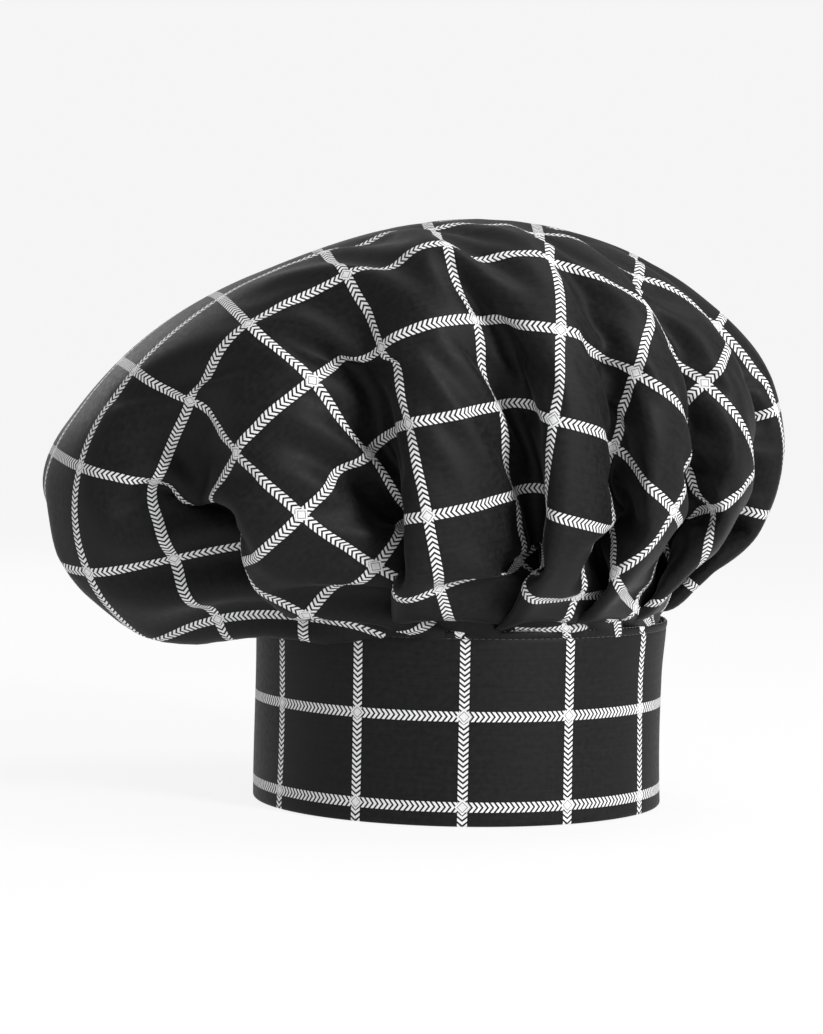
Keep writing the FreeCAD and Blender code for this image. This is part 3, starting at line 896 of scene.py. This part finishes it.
def make_tab():
    whole = tab_path()
    shell = swept("tab_shell_cloth", whole, strip(TAB_LOW, TAB_HIGH, UNDER_SHELL, 0.0), "check_cloth")
    on_band_cloth(shell)
    stiff = swept("tab_stiffener", tab_path(0.8, tab_length(ROOT_TURN + TAB_SPAN) - 0.9),
                  strip(TAB_LOW + 0.8, TAB_HIGH - 0.8, UNDER_STIFFENER, UNDER_SHELL, 4.0), "stiffener")
    lining = swept("tab_lining_cloth", whole,
                   strip(TAB_LOW, TAB_HIGH, -TAB_THICK, UNDER_STIFFENER, 3.0), "lining_cloth")
    inset = tab_path(3.2, tab_length(ROOT_TURN + TAB_SPAN - math.radians(1.9)))
    sewn = stitches("tab_edge_stitches", frame_spots(inset, TAB_LOW + 3.4, TAB_HIGH - 3.4))
    for piece, node in ((shell, "tab_shell"), (stiff, "tab_interfacing"), (lining, "tab_lining"),
                        (sewn, "tab_edge_stitching")):
        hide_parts(node)
        bends_at_root(piece)


def pile(name, path, low, high, pitch, reach, hooked, material):
    """The working face of a tape: rows of small upright loops, or of hooks cut open at the tip."""
    rng = np.random.default_rng(7 if hooked else 11)
    line, out, lengths = path
    sides, thick = 3, 0.1 if hooked else 0.07
    sweep = math.pi * (0.8 if hooked else 1.0)
    turns = np.linspace(0, sweep, 5)
    points, faces = [], []
    for s in np.arange(lengths[0] + pitch, lengths[-1] - pitch / 2, pitch):
        x, y = (np.interp(s, lengths, line[:, k]) for k in (0, 1))
        nx, ny = (np.interp(s, lengths, out[:, k]) for k in (0, 1))
        normal = np.array([nx, ny, 0]) * math.copysign(1, reach)
        for up in np.arange(low + pitch, high - pitch / 2, pitch):
            lean = rng.uniform(-0.5, 0.5) if hooked else rng.uniform(-math.pi, math.pi)
            along = np.array([-ny * math.cos(lean), nx * math.cos(lean), math.sin(lean)])
            beside = np.cross(along, normal)
            foot = np.array([x, y, up + rng.uniform(-0.2, 0.2)])
            tall = abs(reach) * rng.uniform(0.85, 1.1)
            base = len(points)
            for turn in turns:
                middle = foot - along * 0.35 * math.cos(turn) + normal * tall * math.sin(turn)
                radial = normal * math.sin(turn) - along * math.cos(turn)
                for k in range(sides):
                    angle = 2 * math.pi * k / sides
                    points.append(middle + (radial * math.cos(angle) + beside * math.sin(angle)) * thick)
            for i in range(len(turns) - 1):
                for k in range(sides):
                    a, b = base + i * sides + k, base + i * sides + (k + 1) % sides
                    faces.append((a, b, b + sides, a + sides))
            faces.append((base + 2, base + 1, base))
            last = base + (len(turns) - 1) * sides
            faces.append((last, last + 1, last + 2))
    return new_mesh(name, np.array(points) * MM, faces, material)


def make_tapes():
    """The loop tape on the band's far end and the hook tape under the tab, each with its stitches."""
    low, high, start, end = LOOP
    line = round_path(RADIUS, start, end)
    base = swept("loop_tape_base", line, strip(low, high, 0.0, 0.55, 1.5), "loop_tape")
    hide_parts("loop_patch")
    face = round_path(RADIUS + 0.5, start, end)
    loops = pile("loop_tape_loops", face, low + 1.5, high - 1.5, 1.3, 0.5, False, "loop_tape")
    inset = math.radians(0.75)
    sewn = stitches("loop_tape_stitches",
                    frame_spots(round_path(RADIUS + 0.55, start + inset, end - inset), low + 1.3, high - 1.3))
    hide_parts("loop_patch_stitching")
    for piece in (base, loops, sewn):
        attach(piece, HAT)

    low, high, start, end = HOOK
    inner = LAP_R - TAB_THICK
    hook_base = swept("hook_tape_base", round_path(inner, start, end),
                      strip(low, high, -0.5, 0.0, 1.5), "hook_tape")
    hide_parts("hook_patch")
    face = round_path(inner - 0.5, start, end)
    hooks = pile("hook_tape_hooks", face, low + 1, high - 1, 1.7, -0.5, True, "hook_tape")
    line = tab_path(tab_length(start + inset), tab_length(end - inset))
    seen = stitches("hook_tape_stitches", frame_spots(line, low + 1.3, high - 1.3))
    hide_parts("hook_patch_stitching")
    for piece in (hook_base, hooks, seen):
        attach(piece, TAB)


# ---------------------------------------------------------------------------- camera, light and floor
BACKDROP = 0.915                       # the pale backdrop's brightness as the camera sees it
AMBIENT = 0.42                         # and as it lights the hat
KEY, TOP_LIGHT, BACK_LIGHT = 30.0, 7.0, 6.0          # the lamps' power in watts
FLOOR_TONE = 0.12                      # what the floor reflects, besides its own glow
FLOOR_GLOW = BACKDROP - FLOOR_TONE * AMBIENT         # so that the floor meets the backdrop unseen
CAMERA_PLACE = (-0.023, -1.343, 0.189)
CAMERA_PITCH, CAMERA_ROLL = 0.043, 0.018             # radians


def look_from(obj, place, target, roll=0.0):
    direction = Vector(target) - Vector(place)
    turn = direction.to_track_quat("-Z", "Y").to_matrix().to_4x4()
    obj.matrix_world = Matrix.Translation(place) @ turn @ Matrix.Rotation(roll, 4, "Z")


def make_camera():
    data = bpy.data.cameras.new("Camera")
    data.sensor_fit = "VERTICAL"
    data.sensor_height = 36.0
    data.lens = 100.0
    camera = bpy.data.objects.new("Camera", data)
    bpy.context.scene.collection.objects.link(camera)
    place = Vector(CAMERA_PLACE)
    look_from(camera, place, place + Vector((0, 1, -math.tan(CAMERA_PITCH))), CAMERA_ROLL)
    bpy.context.scene.camera = camera


def soft_light(name, place, target, size, power):
    data = bpy.data.lights.new(name, "AREA")
    data.shape = "DISK"
    data.size = size
    data.energy = power
    light = bpy.data.objects.new(name, data)
    bpy.context.scene.collection.objects.link(light)
    look_from(light, place, target)


def make_studio():
    """An even pale surround, a soft key light from the front right, and a pale floor."""
    world = bpy.data.worlds.new("studio")
    world.use_nodes = True
    tree = world.node_tree
    surround = tree.nodes["Background"]
    surround.inputs["Color"].default_value = (1, 1, 1, 1)
    surround.inputs["Strength"].default_value = AMBIENT
    seen = tree.nodes.new("ShaderNodeBackground")
    seen.inputs["Color"].default_value = (1, 1, 1, 1)
    seen.inputs["Strength"].default_value = BACKDROP
    rays = tree.nodes.new("ShaderNodeLightPath")
    choose = tree.nodes.new("ShaderNodeMixShader")
    tree.links.new(rays.outputs["Is Camera Ray"], choose.inputs["Fac"])
    tree.links.new(surround.outputs[0], choose.inputs[1])
    tree.links.new(seen.outputs[0], choose.inputs[2])
    tree.links.new(choose.outputs[0], tree.nodes["World Output"].inputs["Surface"])
    bpy.context.scene.world = world
    bpy.context.scene.view_settings.view_transform = "Standard"

    soft_light("key", (1.15, -1.15, 0.85), (0.0, 0.0, 0.15), 0.45, KEY)
    soft_light("top", (0.45, 0.1, 1.5), (0.0, 0.0, 0.2), 0.6, TOP_LIGHT)
    soft_light("back", (-1.0, 1.5, 0.9), (0.0, 0.0, 0.15), 0.7, BACK_LIGHT)

    floor = bpy.data.objects.new("floor", bpy.data.meshes.new("floor"))
    far = 40.0
    under = -0.0003
    floor.data.from_pydata([(-far, -far, under), (far, -far, under), (far, far, under), (-far, far, under)],
                           [], [(0, 1, 2, 3)])
    bpy.context.scene.collection.objects.link(floor)
    pale = bpy.data.materials.new("pale_floor")
    pale.use_nodes = True
    shader = pale.node_tree.nodes["Principled BSDF"]
    shader.inputs["Base Color"].default_value = (FLOOR_TONE, FLOOR_TONE, FLOOR_TONE, 1)
    shader.inputs["Roughness"].default_value = 0.9
    shader.inputs["Specular IOR Level"].default_value = 0.0
    shader.inputs["Emission Color"].default_value = (1, 1, 1, 1)
    shader.inputs["Emission Strength"].default_value = FLOOR_GLOW
    floor.data.materials.append(pale)


make_camera()
make_studio()
make_crown()
make_band()
make_tab()
make_tapes()
for part in frame["record"]["subparts"]:
    cloth = frame["nodes"][part["node"]].data
    cloth.materials.clear()
    cloth.materials.append(MATERIALS[part["material_slot"]])
